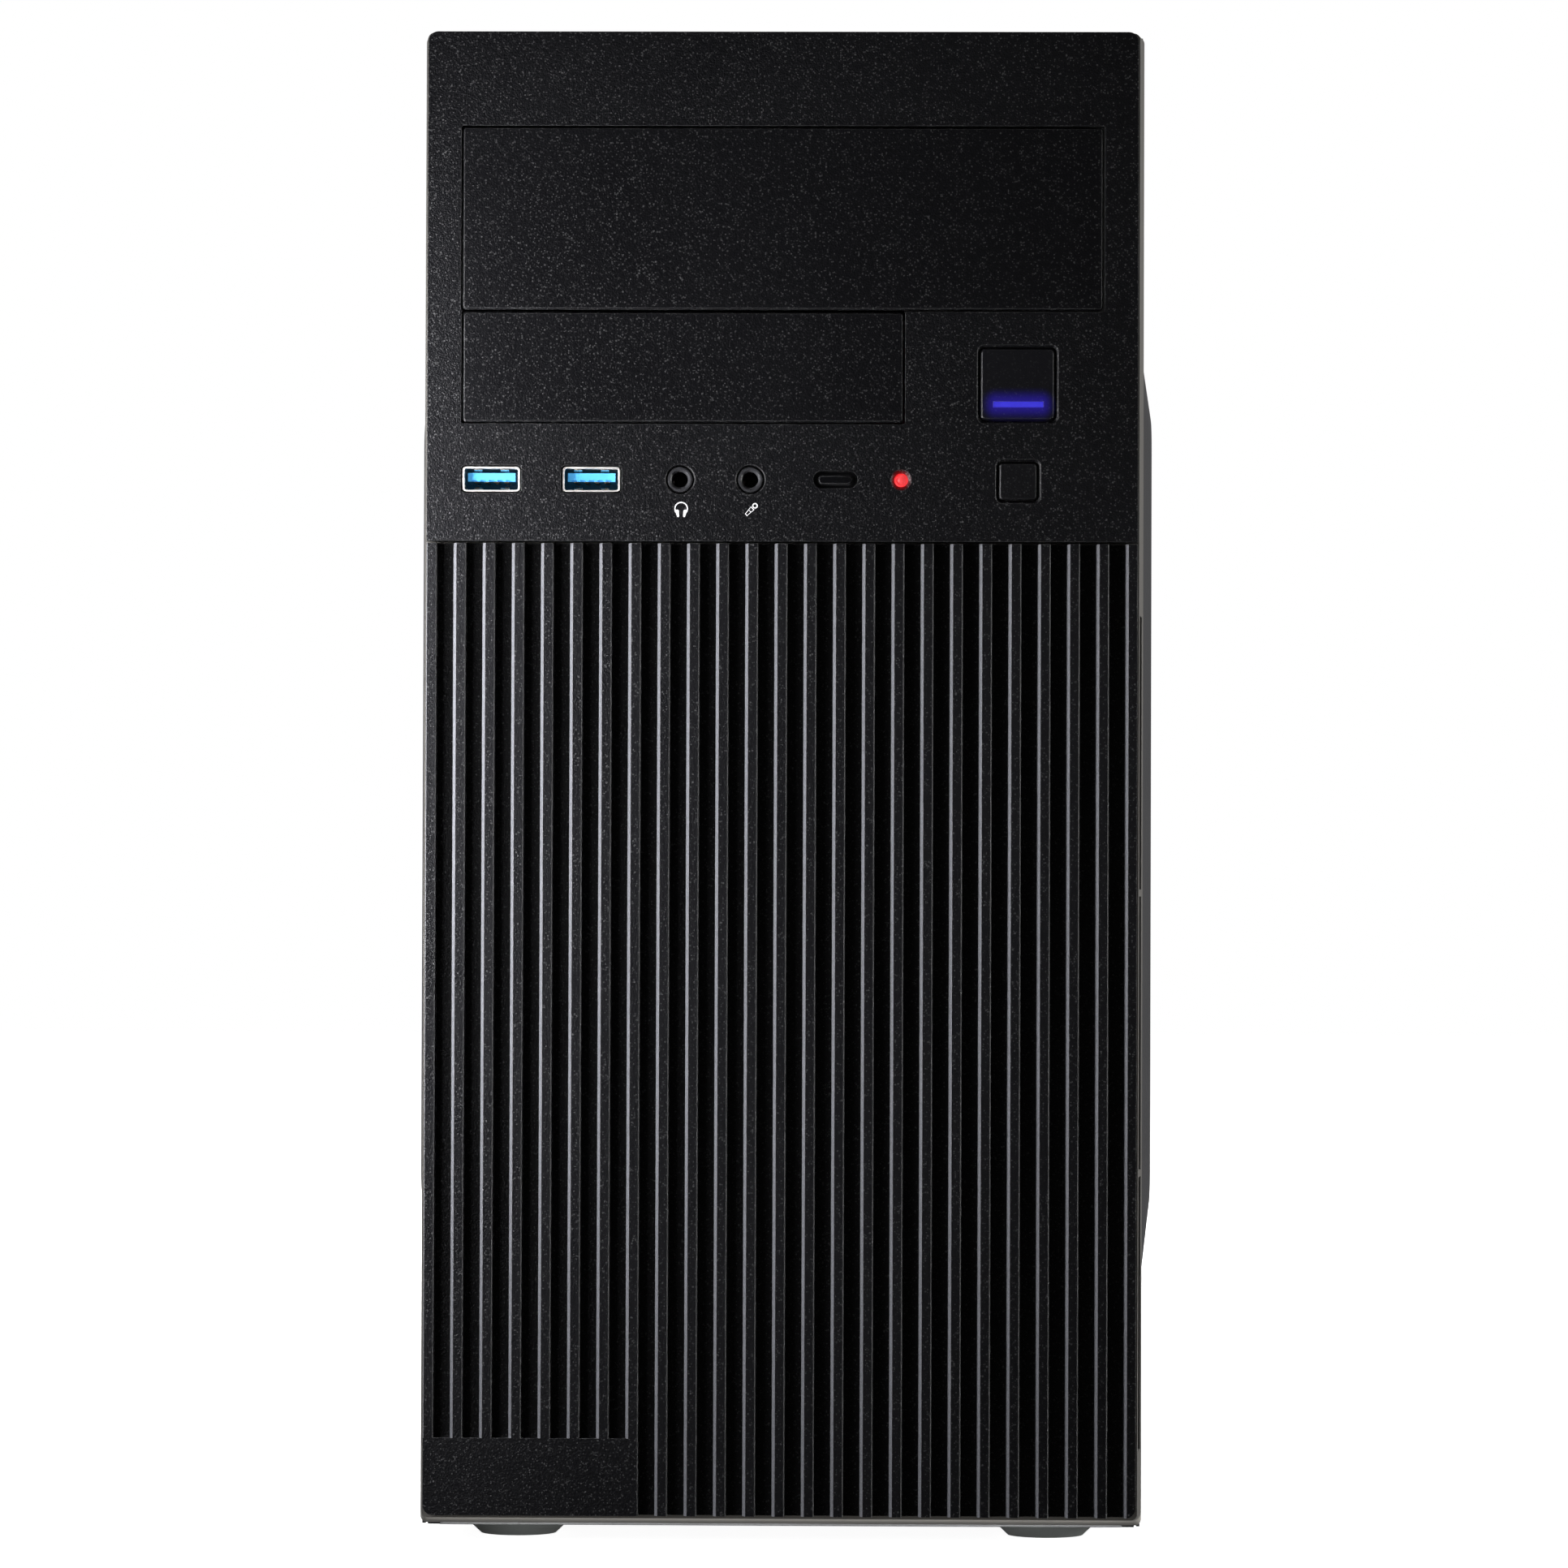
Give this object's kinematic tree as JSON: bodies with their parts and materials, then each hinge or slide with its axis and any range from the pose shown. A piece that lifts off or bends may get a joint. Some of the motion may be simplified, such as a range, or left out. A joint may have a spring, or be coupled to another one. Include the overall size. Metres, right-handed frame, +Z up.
{
  "type": "desktop computer tower",
  "caption": "Small upright computer case with ribbed front, drive bay covers, front ports, push buttons, bulged side panels and fitted internals.",
  "frame": {"origin": "centre of the bounding box at floor level, under the feet", "axes": "+Z up, -Y towards the front face, +X to the viewer's right when facing the front; the main board lies along the +X side"},
  "size_m": [0.1778, 0.379, 0.3548],
  "materials": {
    "bezel_plastic": "fine spark texture",
    "rib_plastic": "fine spark texture",
    "cover_plastic": "fine spark texture",
    "button_plastic": "satin",
    "light_bar": "translucent, lit",
    "led_red": "translucent, lit",
    "port_nickel": "satin nickel plating",
    "usb_blue": "moulded",
    "contact_gold": "gold flash",
    "jack_plastic": "moulded",
    "chassis_steel": "galvanised",
    "panel_paint": "fine textured powder coat",
    "foot_rubber": "matt",
    "board_laminate": "solder mask",
    "standoff_brass": "turned",
    "screw_zinc": "zinc plated",
    "thumbscrew_black": "black oxide",
    "fan_plastic": "moulded",
    "heatsink_aluminium": "extruded",
    "socket_plastic": "moulded",
    "cpu_lid": "nickel plated",
    "connector_plastic": "moulded",
    "slot_plastic": "moulded",
    "module_laminate": "solder mask",
    "battery_steel": "bright",
    "capacitor_can": "drawn can",
    "shield_steel": "bright",
    "drive_casting": "cast and machined",
    "psu_paint": "coated",
    "switch_plastic": "moulded",
    "cable_sleeve": "braided sleeve",
    "cable_jacket": "soft jacket"
  },
  "bodies": {
    "chassis": {"front_io_board": "board_laminate", "front_io_bracket": "chassis_steel", "usb_shells": "port_nickel", "usb_tongues": "usb_blue", "usb_contacts": "contact_gold", "audio_jacks": "jack_plastic", "button_switches": "connector_plastic", "chassis_base": "chassis_steel", "chassis_top": "panel_paint", "chassis_front_panel": "chassis_steel", "chassis_rear_panel": "chassis_steel", "motherboard_tray": "chassis_steel", "optical_bay_cage": "chassis_steel", "hard_drive_cage": "chassis_steel", "feet": "foot_rubber", "rear_fan_frame": "fan_plastic", "psu_case": "psu_paint", "psu_fan_frame": "fan_plastic", "psu_inlet": "switch_plastic", "motherboard": "board_laminate", "board_standoffs": "standoff_brass", "machine_screws": "screw_zinc", "cpu_socket": "socket_plastic", "cpu": "cpu_lid", "cpu_heatsink": "heatsink_aluminium", "cpu_fan_frame": "fan_plastic", "memory_slots": "slot_plastic", "memory_modules": "module_laminate", "expansion_slots": "slot_plastic", "chipset_heatsink": "heatsink_aluminium", "rear_ports": "shield_steel", "board_connectors": "connector_plastic", "board_battery": "battery_steel", "board_capacitors": "capacitor_can", "io_shield": "shield_steel", "slot_covers": "chassis_steel", "hard_drive": "drive_casting", "power_cables": "cable_sleeve", "signal_cables": "cable_jacket"},
    "front_bezel": {"front_bezel": "bezel_plastic", "rib_panel": "rib_plastic", "led_lens": "led_red", "usb_c_blank": "jack_plastic"},
    "power_button": {"power_button": "button_plastic", "power_light_bar": "light_bar"},
    "reset_button": {"reset_button": "button_plastic"},
    "optical_bay_cover": {"optical_bay_cover": "cover_plastic"},
    "drive_bay_cover": {"drive_bay_cover": "cover_plastic"},
    "side_panel_left": {"side_panel_left": "panel_paint"},
    "side_panel_right": {"side_panel_right": "panel_paint"},
    "thumbscrew_left_lower": {"thumbscrew_left_lower": "thumbscrew_black"},
    "thumbscrew_left_upper": {"thumbscrew_left_upper": "thumbscrew_black"},
    "thumbscrew_right_lower": {"thumbscrew_right_lower": "thumbscrew_black"},
    "thumbscrew_right_upper": {"thumbscrew_right_upper": "thumbscrew_black"},
    "rear_fan": {"rear_fan_rotor": "fan_plastic"},
    "cpu_fan": {"cpu_fan_rotor": "fan_plastic"},
    "psu_fan": {"psu_fan_rotor": "fan_plastic"},
    "psu_rocker": {"psu_rocker": "switch_plastic"},
    "memory_latch_front": {"memory_latch_front": "socket_plastic"},
    "memory_latch_rear": {"memory_latch_rear": "socket_plastic"}
  },
  "joints": [
    {"name": "front_bezel_pull", "type": "slide", "parent": "chassis", "child": "front_bezel", "axis": [0, -1, 0], "range_m": [0, 0.06]},
    {"name": "power_button_press", "type": "slide", "parent": "front_bezel", "child": "power_button", "axis": [0, 1, 0], "range_m": [0, 0.0015], "stiffness_N_per_m": 700, "springref_m": -0.0008},
    {"name": "reset_button_press", "type": "slide", "parent": "front_bezel", "child": "reset_button", "axis": [0, 1, 0], "range_m": [0, 0.001], "stiffness_N_per_m": 700, "springref_m": -0.0008},
    {"name": "optical_bay_cover_pull", "type": "slide", "parent": "front_bezel", "child": "optical_bay_cover", "axis": [0, -1, 0], "range_m": [0, 0.03]},
    {"name": "drive_bay_cover_pull", "type": "slide", "parent": "front_bezel", "child": "drive_bay_cover", "axis": [0, -1, 0], "range_m": [0, 0.03]},
    {"name": "side_panel_left_slide", "type": "slide", "parent": "chassis", "child": "side_panel_left", "axis": [0, 1, 0], "range_m": [0, 0.36]},
    {"name": "side_panel_right_slide", "type": "slide", "parent": "chassis", "child": "side_panel_right", "axis": [0, 1, 0], "range_m": [0, 0.36]},
    {"name": "thumbscrew_left_lower_turn", "type": "hinge", "parent": "side_panel_left", "child": "thumbscrew_left_lower", "pos_m": [-0.08, 0.1825, 0.04], "axis": [0, 1, 0], "continuous": true},
    {"name": "thumbscrew_left_upper_turn", "type": "hinge", "parent": "side_panel_left", "child": "thumbscrew_left_upper", "pos_m": [-0.08, 0.1825, 0.32], "axis": [0, 1, 0], "continuous": true},
    {"name": "thumbscrew_right_lower_turn", "type": "hinge", "parent": "side_panel_right", "child": "thumbscrew_right_lower", "pos_m": [0.08, 0.1825, 0.04], "axis": [0, 1, 0], "continuous": true},
    {"name": "thumbscrew_right_upper_turn", "type": "hinge", "parent": "side_panel_right", "child": "thumbscrew_right_upper", "pos_m": [0.08, 0.1825, 0.32], "axis": [0, 1, 0], "continuous": true},
    {"name": "rear_fan_spin", "type": "hinge", "parent": "chassis", "child": "rear_fan", "pos_m": [-0.03, 0.1685, 0.215], "axis": [0, 1, 0], "continuous": true},
    {"name": "cpu_fan_spin", "type": "hinge", "parent": "chassis", "child": "cpu_fan", "pos_m": [0.018, 0.0855, 0.185], "axis": [1, 0, 0], "continuous": true},
    {"name": "psu_fan_spin", "type": "hinge", "parent": "chassis", "child": "psu_fan", "pos_m": [0, 0.1107, 0.276], "axis": [0, 0, 1], "continuous": true},
    {"name": "psu_rocker_tilt", "type": "hinge", "parent": "chassis", "child": "psu_rocker", "pos_m": [-0.01, 0.1797, 0.306], "axis": [0, 0, 1], "range_deg": [0, 16]},
    {"name": "memory_latch_front_turn", "type": "hinge", "parent": "chassis", "child": "memory_latch_front", "pos_m": [0.065, 0.0135, 0.25], "axis": [0, 1, 0], "range_deg": [0, 32]},
    {"name": "memory_latch_rear_turn", "type": "hinge", "parent": "chassis", "child": "memory_latch_rear", "pos_m": [0.065, 0.0245, 0.25], "axis": [0, 1, 0], "range_deg": [0, 32]}
  ]
}
